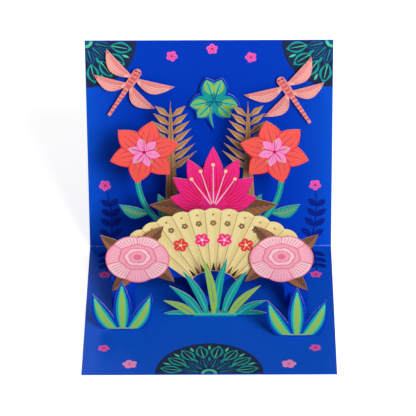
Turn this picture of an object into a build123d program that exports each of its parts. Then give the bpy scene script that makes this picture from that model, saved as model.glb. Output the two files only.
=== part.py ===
from build123d import *
import os
from math import copysign, cos, radians, sin

# Pop-up card standing open, in millimetres, +Z up, origin under the middle of the card.
# The base lies on the XY plane, the fold runs along X and the back panel rises behind it.
# Every upright layer is parallel to the back panel, so that the card can shut flat.

# Cover: one sheet with one fold
CARD_WIDTH = 160.0
PANEL_LENGTH = 150.0
COVER_THICKNESS = 0.7
OPENING_ANGLE = 94.0

# Stock shared by the die-cut layers, the folded strips and the foam under floating pieces
STOCK = 0.5
FOAM = 2.0
FOOT_TAB = 7.0
FOOT_RISE = 2.0
STRUT_TAB = 6.0

# Blades: the share of a leaf or petal over which its full width is held, each way from its middle,
# and how deep the feet of the low plants are sunk before they are trimmed at the fold
BLADE_BELLY = 0.1
FOOT_SINK = 5.0
# The side of a cubic curve comes three quarters of the way to its middle control points
CURVE_REACH = 0.75

# Bridge: folded box front that carries the fan and the front blooms
BRIDGE_INSET = 17.0
BRIDGE_HEIGHT = 30.0
BRIDGE_DISTANCE = 74.0
BRIDGE_TAB = 8.0
BRIDGE_TOP_WIDTH = 64.0
BAR_HEIGHT = 8.0
END_LEG_WIDTH = 15.0
CENTRE_LEG_WIDTH = 16.0
WINDOW_RADIUS = 9.0

# Fan on the bridge's front: inner edge round a pivot below the bridge's top, and a flatter outer rim
FAN_OFFSET = 2.5
FAN_DROP = 22.0
FAN_INNER_RADIUS = 19.0
FAN_SPREAD = 105.0
FAN_RIM_HEIGHT = 62.4
FAN_RIM_RADIUS = 83.0
FAN_RIM_SPREAD = 81.0
FAN_PLEATS = 11
FAN_SCALLOP_DEPTH = 2.0

# Front blooms: rosette on a leaf spray on a foam pad, measured from the bridge's top corner
BLOOM_INSET = 17.0
BLOOM_RISE = 7.0
BLOOM_RIM_WIDTH = 41.0
BLOOM_RIM_HEIGHT = 31.5
BLOOM_PETALS = 7
BLOOM_SCALLOP_DEPTH = 2.5
BLOOM_LEAF_LENGTH = 29.0
BLOOM_LEAF_WIDTH = 10.0
BLOOM_LEAF_BOW = 1.6
BLOOM_LEAF_COUNT = 4
BLOOM_LEAF_TURN = 36.0
BLOOM_HUB_RADIUS = 15.5
BLOOM_PAD_WIDTH = 12.0
BLOOM_PAD_HEIGHT = 6.0

# Lotus: large flower on the bridge's top, with a pair of leaves behind it
LOTUS_DISTANCE = 44.0
LOTUS_OFFSET = 2.5
LOTUS_RISE = 25.0
LOTUS_PETALS = 7
LOTUS_SPREAD = 150.0
LOTUS_MIDDLE_LENGTH = 44.0
LOTUS_SIDE_LENGTH = 29.0
LOTUS_PETAL_WIDTH = 14.0
LOTUS_STALK_WIDTH = 22.0
LOTUS_STRUT_WIDTH = 12.0
LOTUS_STRUT_RISE = 32.5
LOTUS_LEAF_RISE = 14.0
LOTUS_LEAF_LENGTH = 46.0
LOTUS_LEAF_WIDTH = 15.0
LOTUS_LEAF_BOW = 3.0
LOTUS_LEAF_ANGLE = 74.0
LOTUS_LEAF_OVERLAP = 3.0

# Lilies: side flowers on bowed stems that stand on the bridge's top
LILY_DISTANCE = 30.0
LILY_OFFSET = 42.0
LILY_RISE = 57.0
LILY_PETALS = 6
LILY_PETAL_LENGTH = 23.0
LILY_PETAL_WIDTH = 15.0
LILY_TURN = 14.0
LILY_FOOT_OFFSET = 24.0
LILY_FOOT_WIDTH = 10.0
LILY_STEM_WIDTH = 3.6
LILY_STEM_BOW = 12.0
LILY_LEAF_LENGTH = 21.0
LILY_LEAF_WIDTH = 8.5
LILY_LEAF_BOW = 3.0
LILY_OUTER_LEAF_ANGLE = 74.0
LILY_INNER_LEAF_ANGLE = 4.0
LILY_OUTER_LEAF_PLACE = 0.3
LILY_INNER_LEAF_PLACE = 0.15
LILY_STRUT_WIDTH = 7.0
LILY_STRUT_OFFSET = 5.0
LILY_STRUT_DROP = 9.0

# Ferns: tan sprays of paired leaflets behind the lilies
FERN_DISTANCE = 16.0
FERN_OFFSET = 25.0
FERN_PAIRS = 7
FERN_FIRST_HEIGHT = 36.0
FERN_LAST_HEIGHT = 74.0
FERN_TIP_LENGTH = 12.0
FERN_LEAFLET_LENGTH = 22.0
FERN_TOP_LENGTH = 13.0
FERN_LEAFLET_GAP = 0.4
FERN_LEAFLET_BELLY = 7.0
FERN_LEAFLET_ANGLE = 50.0
FERN_FOOT_WIDTH = 10.0
FERN_TIP_WIDTH = 2.0
FERN_STRUT_WIDTH = 5.0
FERN_STRUT_RISE = 34.0

# Grass: low centre plant on the base
GRASS_GAP = 10.0
GRASS_OFFSET = 3.5
GRASS_BLADES = 10
GRASS_SPREAD = 144.0
GRASS_MIDDLE_LENGTH = 46.5
GRASS_SIDE_LENGTH = 18.0
GRASS_BLADE_WIDTH = 5.4
GRASS_FOOT_WIDTH = 28.0
GRASS_STRUT_WIDTH = 12.0
GRASS_STRUT_HEIGHT = 14.0

# Tufts: low side plants on the base, outlined by an even border
TUFT_LEAVES = 3
TUFT_SPREAD = 62.0
TUFT_MIDDLE_LENGTH = 34.0
TUFT_SIDE_LENGTH = 30.0
TUFT_LEAF_WIDTH = 8.0
TUFT_LEAF_BOW = 3.0
TUFT_BORDER = 1.8
TUFT_FOOT_WIDTH = 14.0
TUFT_STRUT_WIDTH = 8.0
TUFT_STRUT_HEIGHT = 11.0
LEFT_TUFT_GAP = 26.0
RIGHT_TUFT_GAP = 34.0

# Floating pieces, measured from the top corners of the back panel
DRAGONFLY_INSET = 30.0
LEFT_DRAGONFLY_DROP = 27.0
RIGHT_DRAGONFLY_DROP = 33.0
DRAGONFLY_TURN = 32.0
DRAGONFLY_FOAM = 3.0
FORE_WING_LENGTH = 27.0
HIND_WING_LENGTH = 24.0
WING_WIDTH = 8.5
WING_ANGLE = 72.0
WING_STEP = 34.0
WING_SPACING = 5.0
DRAGONFLY_BODY_LENGTH = 16.0
DRAGONFLY_BODY_WIDTH = 5.6
DRAGONFLY_BODY_RISE = 1.5
TAIL_LENGTH = 29.0
TAIL_WIDTH = 3.6
TAIL_TIP_WIDTH = 2.0
CLOVER_OFFSET = 3.0
CLOVER_DROP = 42.0
CLOVER_LEAVES = 3
CLOVER_LOBE_LENGTH = 16.0
CLOVER_LOBE_WIDTH = 11.0
CLOVER_LOBE_SPLAY = 18.0
CLOVER_LOBE_BELLY = 0.2
CLOVER_STEM_LENGTH = 20.0
CLOVER_STEM_WIDTH = 2.4
CLOVER_BORDER = 1.5
FLOAT_PAD_SIDE = 4.5

# Values that follow from the driving sizes
UPRIGHT = 90.0
HALF_TURN = 180.0
FULL_TURN = 360.0
LEAN = radians(OPENING_ANGLE - UPRIGHT)
STOCK_ALONG_BASE = STOCK / cos(LEAN)
BACK_REACH = PANEL_LENGTH * sin(LEAN) + COVER_THICKNESS * cos(LEAN)
FOLD_Y = (PANEL_LENGTH - BACK_REACH) / 2
SIDES = {"left": -1, "right": 1}

os.makedirs("parts", exist_ok=True)


def on_card(distance, height):
    """Y and Z of a point in front of the back panel and above the base, both measured along the card."""
    return (FOLD_Y - distance + height * sin(LEAN), COVER_THICKNESS + height * cos(LEAN))


def layer_plane(distance, height=0.0, side=1):
    """Plane parallel to the back panel; for the left side it is turned so that its X points outwards."""
    y, z = on_card(distance, height)
    return Plane(origin=(0, y, z), x_dir=(side, 0, 0), z_dir=(0, -side * cos(LEAN), side * sin(LEAN)))


def folded_profile(centre, width, thickness, *points):
    """Section of a folded strip whose outer face runs through the points, at the strip's left edge."""
    with BuildSketch(Plane.YZ.offset(centre - width / 2)) as section:
        with BuildLine():
            Polyline(*points)
            offset(amount=thickness, side=Side.RIGHT, kind=Kind.INTERSECTION)
        make_face()
    return section.sketch


def foot_profile(centre, width, distance, height=0.0):
    """Section of the foot of a layer: a tab turned back on what it stands on, and the fold above it."""
    front = distance + STOCK_ALONG_BASE
    tab_end = on_card(front - FOOT_TAB, height)
    return folded_profile(
        centre, width, STOCK, tab_end, on_card(front, height), on_card(front, height + FOOT_RISE)
    )


def strut_profile(centre, width, front, back, height):
    """Section of a strut: a level strip between two layers, with a glue tab turned down at each end."""
    drop = height - STRUT_TAB
    return folded_profile(
        centre, width, STOCK, on_card(front, drop), on_card(front, height), on_card(back, height),
        on_card(back, drop),
    )


def spray(count, spread, middle_length, side_length):
    """Share from -1 to 1, angle from upright and length of each blade of an even spray."""
    for index in range(count):
        share = 2 * index / (count - 1) - 1
        yield share, share * spread / 2, middle_length + (side_length - middle_length) * abs(share)


def save(piece, label):
    """Name a finished piece and write it to its own file."""
    piece.part.label = label
    export_step(piece.part, f"parts/{label}.step")


def scallops(rim, count, depth):
    """Row of equal arcs in the open line that bulge outwards from a rim, which is itself left out."""
    for index in range(count):
        SagittaArc(rim @ (index / count), rim @ ((index + 1) / count), -depth)


def above_fold(centre):
    """Trim the open sketch of a plant at half the rise of its foot."""
    with Locations((centre, FOOT_RISE / 2)):
        Rectangle(CARD_WIDTH, PANEL_LENGTH, align=(Align.CENTER, Align.MIN), mode=Mode.INTERSECT)


class Blade(BaseSketchObject):
    """Pointed leaf or petal that rises from its foot, bowed to the right by bend and grown by border."""

    def __init__(self, length, width, bend=0.0, border=0.0, belly=BLADE_BELLY, rotation=0.0, mode=Mode.ADD):
        foot = (0, -border)
        tip = (0, length + border)
        lower = length * (0.5 - belly)
        upper = length * (0.5 + belly)
        left = (bend - width / 2 - border) / CURVE_REACH
        right = (bend + width / 2 + border) / CURVE_REACH
        with BuildSketch() as outline:
            with BuildLine():
                Bezier(foot, (left, lower), (left, upper), tip)
                Bezier(foot, (right, lower), (right, upper), tip)
            make_face()
        super().__init__(obj=outline.sketch, rotation=rotation, align=None, mode=mode)


# Card: one scored and folded sheet, rounded round the outside of the fold
with BuildPart() as card:
    cover = folded_profile(
        0, CARD_WIDTH, COVER_THICKNESS, on_card(PANEL_LENGTH, 0), on_card(0, 0), on_card(0, PANEL_LENGTH)
    )
    extrude(cover, amount=CARD_WIDTH)
    outer_fold = card.edges().filter_by(Axis.X).group_by(Axis.Z)[0].sort_by(Axis.Y)[-1]
    fillet(outer_fold, radius=COVER_THICKNESS)
save(card, "card")

# Bridge: wide front with a foot tab and two round-shouldered windows, and a narrower top with a back tab
BRIDGE_WIDTH = CARD_WIDTH - 2 * BRIDGE_INSET
WINDOW_WIDTH = (BRIDGE_WIDTH - CENTRE_LEG_WIDTH) / 2 - END_LEG_WIDTH
WINDOW_CENTRE = (CENTRE_LEG_WIDTH + WINDOW_WIDTH) / 2
WINDOW_HEIGHT = BRIDGE_HEIGHT - BAR_HEIGHT
bridge_front_fold = (
    on_card(BRIDGE_DISTANCE - BRIDGE_TAB, 0),
    on_card(BRIDGE_DISTANCE, 0),
    on_card(BRIDGE_DISTANCE, BRIDGE_HEIGHT),
)
bridge_top_fold = (on_card(0, BRIDGE_HEIGHT), on_card(0, BRIDGE_HEIGHT - BRIDGE_TAB))
with BuildPart() as bridge:
    front = folded_profile(0, BRIDGE_WIDTH, STOCK, *bridge_front_fold)
    extrude(front, amount=BRIDGE_WIDTH)
    strip = folded_profile(0, BRIDGE_TOP_WIDTH, STOCK, *bridge_front_fold, *bridge_top_fold)
    extrude(strip, amount=BRIDGE_TOP_WIDTH)
    with BuildSketch(layer_plane(BRIDGE_DISTANCE)) as windows:
        with Locations((-WINDOW_CENTRE, 0), (WINDOW_CENTRE, 0)):
            Rectangle(WINDOW_WIDTH, 2 * WINDOW_HEIGHT)
        fillet(windows.vertices().group_by(Axis.Y)[-1], WINDOW_RADIUS)
    extrude(amount=-2 * BRIDGE_TAB, mode=Mode.SUBTRACT)
save(bridge, "bridge")

# Fan: pleats that open from the inner edge to the rim, with a shallow scallop at the end of each
RIM_CENTRE = (FAN_OFFSET, FAN_RIM_HEIGHT - FAN_RIM_RADIUS)
RIM_START = UPRIGHT - FAN_RIM_SPREAD / 2
FAN_START = UPRIGHT - FAN_SPREAD / 2
with BuildPart() as fan:
    with BuildSketch(layer_plane(BRIDGE_DISTANCE, BRIDGE_HEIGHT - FAN_DROP)):
        with BuildLine():
            inner = CenterArc((FAN_OFFSET, 0), FAN_INNER_RADIUS, FAN_START, FAN_SPREAD)
            rim = CenterArc(RIM_CENTRE, FAN_RIM_RADIUS, RIM_START, FAN_RIM_SPREAD, mode=Mode.PRIVATE)
            scallops(rim, FAN_PLEATS, FAN_SCALLOP_DEPTH)
            Line(rim @ 0, inner @ 0)
            Line(rim @ 1, inner @ 1)
        make_face()
    extrude(amount=STOCK)
save(fan, "fan")

# Front blooms, each stacked on the bridge: foam pad, leaf spray, rosette
BLOOM_OFFSET = BRIDGE_WIDTH / 2 - BLOOM_INSET
PAD_RISE = -BAR_HEIGHT / 2
for name, side in SIDES.items():
    bridge_front = layer_plane(BRIDGE_DISTANCE, BRIDGE_HEIGHT, side)
    with BuildPart() as bloom_pad:
        with BuildSketch(bridge_front):
            with Locations((BLOOM_OFFSET, PAD_RISE)):
                Rectangle(BLOOM_PAD_WIDTH, BLOOM_PAD_HEIGHT)
        extrude(amount=side * FOAM)
    save(bloom_pad, f"bloom_pad_{name}")

    with BuildPart() as bloom_leaves:
        with BuildSketch(bridge_front.offset(side * FOAM)):
            with Locations(Location((BLOOM_OFFSET, BLOOM_RISE, 0), BLOOM_LEAF_TURN)):
                RegularPolygon(BLOOM_HUB_RADIUS, BLOOM_LEAF_COUNT, rotation=UPRIGHT)
                with PolarLocations(0, BLOOM_LEAF_COUNT):
                    Blade(BLOOM_LEAF_LENGTH, BLOOM_LEAF_WIDTH, BLOOM_LEAF_BOW)
        extrude(amount=side * STOCK)
    save(bloom_leaves, f"bloom_leaves_{name}")

    with BuildPart() as bloom:
        with BuildSketch(bridge_front.offset(side * (FOAM + STOCK))):
            with BuildLine():
                rim = EllipticalCenterArc(
                    (BLOOM_OFFSET, BLOOM_RISE),
                    BLOOM_RIM_WIDTH / 2,
                    BLOOM_RIM_HEIGHT / 2,
                    UPRIGHT,
                    arc_size=FULL_TURN,
                    mode=Mode.PRIVATE,
                )
                scallops(rim, BLOOM_PETALS, BLOOM_SCALLOP_DEPTH)
            make_face()
        extrude(amount=side * STOCK)
    save(bloom, f"bloom_{name}")

# Lotus: fan of petals above a plain stalk that stands on the bridge's top
lotus_plane = layer_plane(LOTUS_DISTANCE, BRIDGE_HEIGHT)
with BuildPart() as lotus:
    with BuildSketch(lotus_plane):
        with Locations((LOTUS_OFFSET, (FOOT_RISE / 2 + LOTUS_RISE) / 2)):
            Rectangle(LOTUS_STALK_WIDTH, LOTUS_RISE - FOOT_RISE / 2)
        with Locations((LOTUS_OFFSET, LOTUS_RISE)):
            for _, angle, length in spray(
                LOTUS_PETALS, LOTUS_SPREAD, LOTUS_MIDDLE_LENGTH, LOTUS_SIDE_LENGTH
            ):
                Blade(length, LOTUS_PETAL_WIDTH, rotation=-angle)
    extrude(amount=STOCK)
    foot = foot_profile(LOTUS_OFFSET, LOTUS_STALK_WIDTH, LOTUS_DISTANCE, BRIDGE_HEIGHT)
    extrude(foot, amount=LOTUS_STALK_WIDTH)
save(lotus, "lotus")

with BuildPart() as lotus_leaves:
    with BuildSketch(lotus_plane.offset(-STOCK)):
        for side in SIDES.values():
            with Locations((LOTUS_OFFSET - side * LOTUS_LEAF_OVERLAP, LOTUS_LEAF_RISE)):
                Blade(
                    LOTUS_LEAF_LENGTH,
                    LOTUS_LEAF_WIDTH,
                    -side * LOTUS_LEAF_BOW,
                    rotation=-side * LOTUS_LEAF_ANGLE,
                )
    extrude(amount=STOCK)
save(lotus_leaves, "lotus_leaves")

with BuildPart() as lotus_strut:
    section = strut_profile(
        LOTUS_OFFSET, LOTUS_STRUT_WIDTH, LOTUS_DISTANCE, 0, BRIDGE_HEIGHT + LOTUS_STRUT_RISE
    )
    extrude(section, amount=LOTUS_STRUT_WIDTH)
save(lotus_strut, "lotus_strut")

# Lilies: six petals on a bowed stem with a pair of leaves, and the strut behind each flower
for name, side in SIDES.items():
    with BuildPart() as lily:
        with BuildSketch(layer_plane(LILY_DISTANCE, BRIDGE_HEIGHT, side)):
            with BuildLine():
                stem = SagittaArc((LILY_FOOT_OFFSET, 0), (LILY_OFFSET, LILY_RISE), -LILY_STEM_BOW)
            trace(line_width=LILY_STEM_WIDTH)
            with Locations(Location((LILY_OFFSET, LILY_RISE, 0), LILY_TURN)):
                with PolarLocations(0, LILY_PETALS):
                    Blade(LILY_PETAL_LENGTH, LILY_PETAL_WIDTH)
            with Locations(stem @ LILY_OUTER_LEAF_PLACE):
                Blade(LILY_LEAF_LENGTH, LILY_LEAF_WIDTH, LILY_LEAF_BOW, rotation=-LILY_OUTER_LEAF_ANGLE)
            with Locations(stem @ LILY_INNER_LEAF_PLACE):
                Blade(LILY_LEAF_LENGTH, LILY_LEAF_WIDTH, -LILY_LEAF_BOW, rotation=-LILY_INNER_LEAF_ANGLE)
            with Locations((LILY_FOOT_OFFSET, FOOT_RISE)):
                Rectangle(LILY_FOOT_WIDTH, FOOT_RISE)
            above_fold(LILY_FOOT_OFFSET)
        extrude(amount=side * STOCK)
        foot = foot_profile(side * LILY_FOOT_OFFSET, LILY_FOOT_WIDTH, LILY_DISTANCE, BRIDGE_HEIGHT)
        extrude(foot, amount=LILY_FOOT_WIDTH)
    save(lily, f"lily_{name}")

    with BuildPart() as lily_strut:
        section = strut_profile(
            side * (LILY_OFFSET + LILY_STRUT_OFFSET),
            LILY_STRUT_WIDTH,
            LILY_DISTANCE,
            0,
            BRIDGE_HEIGHT + LILY_RISE - LILY_STRUT_DROP,
        )
        extrude(section, amount=LILY_STRUT_WIDTH)
    save(lily_strut, f"lily_strut_{name}")

# Ferns: tapered stalk with straight-sided paired leaflets that shorten towards the tip
FERN_PITCH = (FERN_LAST_HEIGHT - FERN_FIRST_HEIGHT) / (FERN_PAIRS - 1)
LEAFLET_HALF_WIDTH = (FERN_PITCH * sin(radians(FERN_LEAFLET_ANGLE)) - FERN_LEAFLET_GAP) / 2
for name, side in SIDES.items():
    with BuildPart() as fern:
        with BuildSketch(layer_plane(FERN_DISTANCE, BRIDGE_HEIGHT, side)):
            with BuildLine():
                Polyline(
                    (FERN_OFFSET - FERN_FOOT_WIDTH / 2, FOOT_RISE / 2),
                    (FERN_OFFSET + FERN_FOOT_WIDTH / 2, FOOT_RISE / 2),
                    (FERN_OFFSET + FERN_TIP_WIDTH / 2, FERN_LAST_HEIGHT),
                    (FERN_OFFSET, FERN_LAST_HEIGHT + FERN_TIP_LENGTH),
                    (FERN_OFFSET - FERN_TIP_WIDTH / 2, FERN_LAST_HEIGHT),
                    close=True,
                )
            make_face()
            for pair in range(FERN_PAIRS):
                share = pair / (FERN_PAIRS - 1)
                rise = FERN_FIRST_HEIGHT + pair * FERN_PITCH
                length = FERN_LEAFLET_LENGTH + share * (FERN_TOP_LENGTH - FERN_LEAFLET_LENGTH)
                with Locations((FERN_OFFSET, rise)):
                    for turn in (-1, 1):
                        Polygon(
                            (0, 0),
                            (LEAFLET_HALF_WIDTH, FERN_LEAFLET_BELLY),
                            (0, length),
                            (-LEAFLET_HALF_WIDTH, FERN_LEAFLET_BELLY),
                            rotation=turn * FERN_LEAFLET_ANGLE,
                            align=None,
                        )
        extrude(amount=side * STOCK)
        foot = foot_profile(side * FERN_OFFSET, FERN_FOOT_WIDTH, FERN_DISTANCE, BRIDGE_HEIGHT)
        extrude(foot, amount=FERN_FOOT_WIDTH)
    save(fern, f"fern_{name}")

    with BuildPart() as fern_strut:
        section = strut_profile(
            side * FERN_OFFSET, FERN_STRUT_WIDTH, FERN_DISTANCE, 0, BRIDGE_HEIGHT + FERN_STRUT_RISE
        )
        extrude(section, amount=FERN_STRUT_WIDTH)
    save(fern_strut, f"fern_strut_{name}")

# Grass: spray of blades that droop outwards, held up by a strut from the bridge's centre leg
GRASS_DISTANCE = BRIDGE_DISTANCE + GRASS_GAP
with BuildPart() as grass:
    with BuildSketch(layer_plane(GRASS_DISTANCE)):
        for share, angle, length in spray(
            GRASS_BLADES, GRASS_SPREAD, GRASS_MIDDLE_LENGTH, GRASS_SIDE_LENGTH
        ):
            blade_foot = GRASS_OFFSET + share * (GRASS_FOOT_WIDTH - GRASS_BLADE_WIDTH) / 2
            droop = -copysign(GRASS_BLADE_WIDTH / 2, share)
            with Locations((blade_foot, -FOOT_SINK)):
                Blade(length + FOOT_SINK, GRASS_BLADE_WIDTH, droop, rotation=-angle)
        with Locations((GRASS_OFFSET, FOOT_RISE)):
            Rectangle(GRASS_FOOT_WIDTH, FOOT_RISE)
        above_fold(GRASS_OFFSET)
    extrude(amount=STOCK)
    extrude(foot_profile(GRASS_OFFSET, GRASS_FOOT_WIDTH, GRASS_DISTANCE), amount=GRASS_FOOT_WIDTH)
save(grass, "grass")

with BuildPart() as grass_strut:
    section = strut_profile(0, GRASS_STRUT_WIDTH, GRASS_DISTANCE, BRIDGE_DISTANCE, GRASS_STRUT_HEIGHT)
    extrude(section, amount=GRASS_STRUT_WIDTH)
save(grass_strut, "grass_strut")

# Tufts: three leaves inside an even border, held up by struts from the bridge's end legs
TUFT_GAPS = {"left": LEFT_TUFT_GAP, "right": RIGHT_TUFT_GAP}
TUFT_OFFSET = (BRIDGE_WIDTH - END_LEG_WIDTH) / 2
for name, side in SIDES.items():
    tuft_distance = BRIDGE_DISTANCE + TUFT_GAPS[name]
    with BuildPart() as tuft:
        with BuildSketch(layer_plane(tuft_distance, 0, side)):
            with Locations((TUFT_OFFSET, -FOOT_SINK)):
                for share, angle, length in spray(
                    TUFT_LEAVES, TUFT_SPREAD, TUFT_MIDDLE_LENGTH, TUFT_SIDE_LENGTH
                ):
                    bend = share * TUFT_LEAF_BOW
                    Blade(length + FOOT_SINK, TUFT_LEAF_WIDTH, bend, TUFT_BORDER, rotation=-angle)
            with Locations((TUFT_OFFSET, FOOT_RISE)):
                Rectangle(TUFT_FOOT_WIDTH, FOOT_RISE)
            above_fold(TUFT_OFFSET)
        extrude(amount=side * STOCK)
        foot = foot_profile(side * TUFT_OFFSET, TUFT_FOOT_WIDTH, tuft_distance)
        extrude(foot, amount=TUFT_FOOT_WIDTH)
    save(tuft, f"tuft_{name}")

    with BuildPart() as tuft_strut:
        section = strut_profile(
            side * TUFT_OFFSET, TUFT_STRUT_WIDTH, tuft_distance, BRIDGE_DISTANCE, TUFT_STRUT_HEIGHT
        )
        extrude(section, amount=TUFT_STRUT_WIDTH)
    save(tuft_strut, f"tuft_strut_{name}")

# Dragonflies: two pairs of wings on a round body with a tapered tail, raised on a foam pad
DRAGONFLY_OFFSET = CARD_WIDTH / 2 - DRAGONFLY_INSET
DRAGONFLY_DROPS = {"left": LEFT_DRAGONFLY_DROP, "right": RIGHT_DRAGONFLY_DROP}
for name, side in SIDES.items():
    back_panel = layer_plane(0, PANEL_LENGTH - DRAGONFLY_DROPS[name], side)
    with BuildPart() as dragonfly_pad:
        with BuildSketch(back_panel):
            with Locations((DRAGONFLY_OFFSET, 0)):
                Rectangle(FLOAT_PAD_SIDE, FLOAT_PAD_SIDE, rotation=DRAGONFLY_TURN)
        extrude(amount=side * DRAGONFLY_FOAM)
    save(dragonfly_pad, f"dragonfly_pad_{name}")

    with BuildPart() as dragonfly:
        with BuildSketch(back_panel.offset(side * DRAGONFLY_FOAM)):
            with Locations(Location((DRAGONFLY_OFFSET, 0, 0), DRAGONFLY_TURN)):
                for turn in (-1, 1):
                    bend = turn * WING_WIDTH / 2
                    with Locations((0, WING_SPACING / 2)):
                        Blade(FORE_WING_LENGTH, WING_WIDTH, bend, rotation=-turn * WING_ANGLE)
                    with Locations((0, -WING_SPACING / 2)):
                        Blade(HIND_WING_LENGTH, WING_WIDTH, bend, rotation=-turn * (WING_ANGLE + WING_STEP))
                with Locations((0, DRAGONFLY_BODY_RISE)):
                    SlotOverall(DRAGONFLY_BODY_LENGTH, DRAGONFLY_BODY_WIDTH, rotation=UPRIGHT)
                Polygon(
                    (-TAIL_WIDTH / 2, 0),
                    (-TAIL_TIP_WIDTH / 2, -TAIL_LENGTH),
                    (TAIL_TIP_WIDTH / 2, -TAIL_LENGTH),
                    (TAIL_WIDTH / 2, 0),
                    align=None,
                )
        extrude(amount=side * STOCK)
    save(dragonfly, f"dragonfly_{name}")

# Clover: three leaves of two lobes and a stem inside an even border, on a foam pad
clover_plane = layer_plane(0, PANEL_LENGTH - CLOVER_DROP)
with BuildPart() as clover_pad:
    with BuildSketch(clover_plane):
        with Locations((CLOVER_OFFSET, 0)):
            Rectangle(FLOAT_PAD_SIDE, FLOAT_PAD_SIDE)
    extrude(amount=FOAM)
save(clover_pad, "clover_pad")

with BuildPart() as clover:
    with BuildSketch(clover_plane.offset(FOAM)):
        with Locations((CLOVER_OFFSET, 0)):
            for splay in (-CLOVER_LOBE_SPLAY, CLOVER_LOBE_SPLAY):
                with PolarLocations(0, CLOVER_LEAVES):
                    Blade(
                        CLOVER_LOBE_LENGTH,
                        CLOVER_LOBE_WIDTH,
                        border=CLOVER_BORDER,
                        belly=CLOVER_LOBE_BELLY,
                        rotation=splay,
                    )
            Blade(
                CLOVER_STEM_LENGTH,
                CLOVER_STEM_WIDTH,
                CLOVER_STEM_WIDTH,
                CLOVER_BORDER,
                rotation=HALF_TURN,
            )
    extrude(amount=STOCK)
save(clover, "clover")
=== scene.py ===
import math

import bpy
from mathutils import Matrix, Vector


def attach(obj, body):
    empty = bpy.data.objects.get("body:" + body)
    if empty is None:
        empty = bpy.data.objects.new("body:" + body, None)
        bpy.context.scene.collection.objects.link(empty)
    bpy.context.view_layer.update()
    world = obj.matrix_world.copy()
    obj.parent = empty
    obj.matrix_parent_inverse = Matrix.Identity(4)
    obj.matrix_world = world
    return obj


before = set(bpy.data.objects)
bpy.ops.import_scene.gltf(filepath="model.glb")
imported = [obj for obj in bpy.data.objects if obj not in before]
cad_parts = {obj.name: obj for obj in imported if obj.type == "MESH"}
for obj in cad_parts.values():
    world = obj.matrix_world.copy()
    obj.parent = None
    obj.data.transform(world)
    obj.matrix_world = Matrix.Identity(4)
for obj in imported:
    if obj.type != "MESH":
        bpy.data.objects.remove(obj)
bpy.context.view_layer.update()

# Pop-up card standing open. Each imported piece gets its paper, and the print is laid on its face as ink.
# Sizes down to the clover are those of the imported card, in millimetres and degrees.
MM = 0.001
CARD_WIDTH = 160.0
PANEL_LENGTH = 150.0
COVER = 0.7
OPENING_ANGLE = 94.0
STOCK = 0.5
FOAM = 2.0
LEAF_BELLY = 0.1
FOOT_SINK = 5.0
SIDES = {"left": -1, "right": 1}

# Bridge, and how far the other layers stand in front of the back panel
BRIDGE_HEIGHT = 30.0
BRIDGE_DISTANCE = 74.0
LOTUS_DISTANCE = 44.0
LILY_DISTANCE = 30.0
FERN_DISTANCE = 16.0
GRASS_DISTANCE = BRIDGE_DISTANCE + 10.0
TUFT_DISTANCES = {"left": BRIDGE_DISTANCE + 26.0, "right": BRIDGE_DISTANCE + 34.0}

# Fan
FAN_OFFSET = 2.5
FAN_DROP = 22.0
FAN_PLEATS = 11
FAN_INNER_RADIUS = 19.0
FAN_SPREAD = 105.0
FAN_RIM_HEIGHT = 62.4
FAN_RIM_RADIUS = 83.0
FAN_RIM_SPREAD = 81.0

# Front blooms and the leaves behind them
BLOOM_CENTRE = (46.0, 7.0)
BLOOM_WIDTH = 41.0
BLOOM_HEIGHT = 31.5
BLOOM_PETALS = 7
BLOOM_SCALLOP = 2.5
BLOOM_LEAVES = 4
BLOOM_LEAF_LENGTH = 29.0
BLOOM_LEAF_WIDTH = 10.0
BLOOM_LEAF_BOW = 1.6
BLOOM_LEAF_TURN = 36.0

# Lotus and its leaves
LOTUS_FOOT = (2.5, 25.0)
LOTUS_PETALS = 7
LOTUS_SPREAD = 150.0
LOTUS_MIDDLE_LENGTH = 44.0
LOTUS_SIDE_LENGTH = 29.0
LOTUS_PETAL_WIDTH = 14.0
LOTUS_LEAF_RISE = 14.0
LOTUS_LEAF_LENGTH = 46.0
LOTUS_LEAF_WIDTH = 15.0
LOTUS_LEAF_BOW = 3.0
LOTUS_LEAF_ANGLE = 74.0
LOTUS_LEAF_OVERLAP = 3.0

# Lilies
LILY_CENTRE = (42.0, 57.0)
LILY_FOOT = (24.0, 0.0)
LILY_STEM_BOW = 12.0
LILY_PETALS = 6
LILY_PETAL_LENGTH = 23.0
LILY_PETAL_WIDTH = 15.0
LILY_TURN = 14.0
LILY_LEAF_LENGTH = 21.0
LILY_LEAF_WIDTH = 8.5
LILY_LEAF_BOW = 3.0
LILY_OUTER_LEAF_ANGLE = 74.0
LILY_INNER_LEAF_ANGLE = 4.0
LILY_OUTER_LEAF_PLACE = 0.3
LILY_INNER_LEAF_PLACE = 0.15

# Ferns
FERN_OFFSET = 25.0
FERN_PAIRS = 7
FERN_FIRST_HEIGHT = 36.0
FERN_LAST_HEIGHT = 74.0
FERN_LEAFLET_LENGTH = 22.0
FERN_TOP_LENGTH = 13.0
FERN_LEAFLET_GAP = 0.4
FERN_LEAFLET_BELLY = 7.0
FERN_LEAFLET_ANGLE = 50.0

# Grass and tufts
GRASS_OFFSET = 3.5
GRASS_BLADES = 10
GRASS_SPREAD = 144.0
GRASS_MIDDLE_LENGTH = 46.5
GRASS_SIDE_LENGTH = 18.0
GRASS_BLADE_WIDTH = 5.4
GRASS_FOOT_WIDTH = 28.0
TUFT_OFFSET = 55.5
TUFT_LEAVES = 3
TUFT_SPREAD = 62.0
TUFT_MIDDLE_LENGTH = 34.0
TUFT_SIDE_LENGTH = 30.0
TUFT_LEAF_WIDTH = 8.0
TUFT_LEAF_BOW = 3.0

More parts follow.
